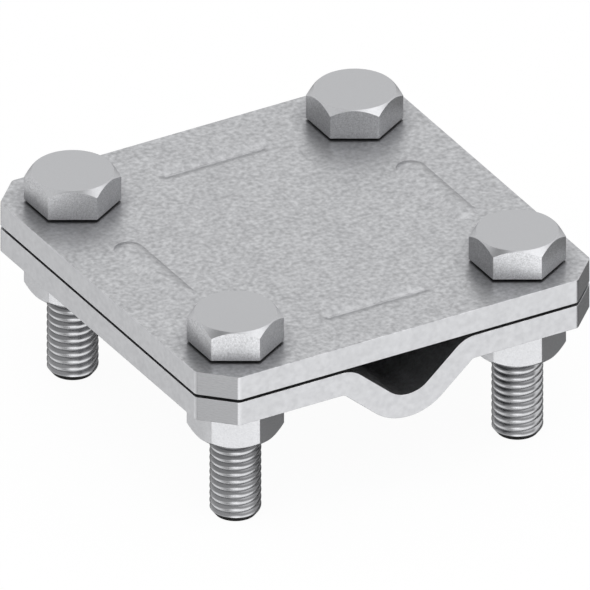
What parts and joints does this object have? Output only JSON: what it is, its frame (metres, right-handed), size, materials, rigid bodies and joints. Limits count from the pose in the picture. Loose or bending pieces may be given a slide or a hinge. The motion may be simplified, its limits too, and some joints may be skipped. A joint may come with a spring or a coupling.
{
  "type": "cross connector clamp",
  "caption": "Cross connector for a flat strip and a round conductor: a beaded square upper plate and a grooved lower plate, drawn together by hexagon bolts and nuts.",
  "frame": {"origin": "middle of the clamp, in the plane of the four bolt tips on which it stands", "axes": "+Z towards the bolt heads, Y along the groove of the lower plate, front is -Y and left is -X"},
  "size_m": [0.07, 0.07, 0.0353],
  "materials": {
    "galvanised_plate": "hot-dip galvanised steel, matt light grey with a fine mottle",
    "zinc_fastener": "zinc-coated steel, smooth satin grey"
  },
  "bodies": {
    "root": {"upper_plate": "galvanised_plate", "lower_plate": "galvanised_plate", "bolt_front_left": "zinc_fastener", "bolt_front_right": "zinc_fastener", "bolt_back_left": "zinc_fastener", "bolt_back_right": "zinc_fastener", "nut_front_left": "zinc_fastener", "nut_front_right": "zinc_fastener", "nut_back_left": "zinc_fastener", "nut_back_right": "zinc_fastener"}
  },
  "joints": []
}
